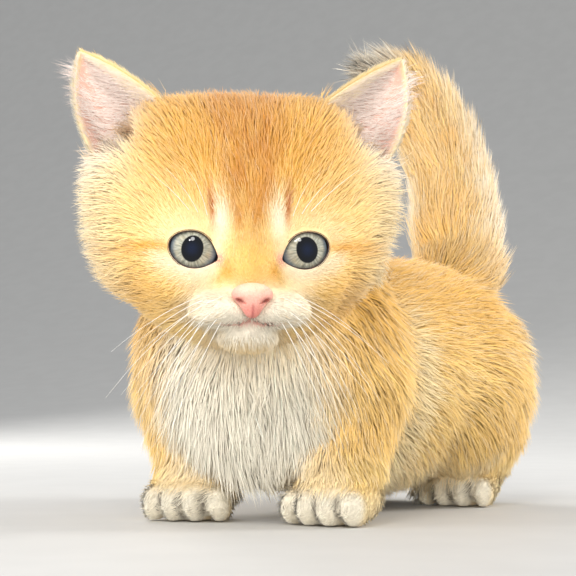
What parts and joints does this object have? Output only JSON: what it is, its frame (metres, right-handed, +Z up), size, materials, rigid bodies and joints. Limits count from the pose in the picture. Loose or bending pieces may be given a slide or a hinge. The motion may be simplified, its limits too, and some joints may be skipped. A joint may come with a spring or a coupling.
{
  "type": "munchkin kitten figure",
  "caption": "Still, life-size model of a short-legged munchkin kitten standing on its paws, head turned to its left, plush coat, tail raised and curling forward.",
  "frame": {"origin": "the point of the floor under the middle of the kitten's bounding box", "axes": "-Y the way the body faces, +X the kitten's left, +Z up"},
  "size_m": [0.0922, 0.1984, 0.1545],
  "materials": {
    "cream_coat": "golden cream plush fur",
    "white_coat": "short cream white fur",
    "pink_skin": "bare pink nose leather",
    "eye_glass": "wet, clear eye over a grey-beige iris"
  },
  "bodies": {
    "root": {"head": "cream_coat", "eye_left": "eye_glass", "eye_right": "eye_glass", "nose": "pink_skin", "ear_left": "cream_coat", "ear_right": "cream_coat", "neck": "cream_coat", "chest": "cream_coat", "trunk": "cream_coat", "rump": "cream_coat", "foreleg_left": "cream_coat", "foreleg_right": "cream_coat", "hindleg_left": "cream_coat", "hindleg_right": "cream_coat", "forepaw_left": "white_coat", "forepaw_right": "white_coat", "hindpaw_left": "white_coat", "hindpaw_right": "white_coat", "tail_base": "cream_coat", "tail_end": "cream_coat"}
  },
  "joints": []
}
